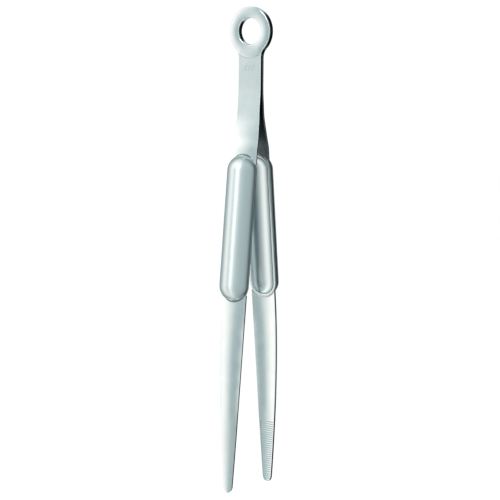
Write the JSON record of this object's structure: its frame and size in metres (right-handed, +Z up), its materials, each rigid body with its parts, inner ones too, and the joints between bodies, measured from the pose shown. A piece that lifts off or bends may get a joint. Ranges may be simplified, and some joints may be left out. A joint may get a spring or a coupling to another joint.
{
  "type": "spring loaded kitchen tongs",
  "caption": "Long polished steel tongs: sprung leaf arms under a round hanging ring, half-round satin grips and slender tapered jaws with serrated inner tips.",
  "frame": {"origin": "centre of the hanging ring's bore", "axes": "+Z up, from the tips towards the ring; +X from the front arm to the rear arm, the way the arms open; Y across the width of the arms"},
  "size_m": [0.052, 0.031, 0.3099],
  "materials": {
    "polished_steel": "mirror polished",
    "satin_steel": "satin, brushed along its length",
    "seam_steel": "ground weld"
  },
  "bodies": {
    "neck": {"hanging_ring": "polished_steel", "neck_plug_welds": "seam_steel", "front_spring_leaf": "polished_steel", "rear_spring_leaf": "polished_steel"},
    "front_arm": {"front_grip_pan": "polished_steel", "front_grip_shell": "satin_steel", "front_grip_seams": "seam_steel", "front_jaw": "polished_steel"},
    "rear_arm": {"rear_grip_pan": "polished_steel", "rear_grip_shell": "satin_steel", "rear_grip_seams": "seam_steel", "rear_jaw": "polished_steel"}
  },
  "joints": [
    {"name": "front_arm_flex", "type": "hinge", "parent": "neck", "child": "front_arm", "pos_m": [-0.0032, 0, -0.05525], "axis": [0, -1, 0], "range_deg": [0, 5.15], "stiffness_Nm_per_rad": 12, "deforming": ["front_spring_leaf"]},
    {"name": "rear_arm_flex", "type": "hinge", "parent": "neck", "child": "rear_arm", "pos_m": [0.0032, 0, -0.05525], "axis": [0, 1, 0], "range_deg": [0, 5.15], "stiffness_Nm_per_rad": 12, "deforming": ["rear_spring_leaf"]}
  ],
  "couplings": [
    {"joint": "rear_arm_flex", "follows": "front_arm_flex", "ratio": 1}
  ]
}
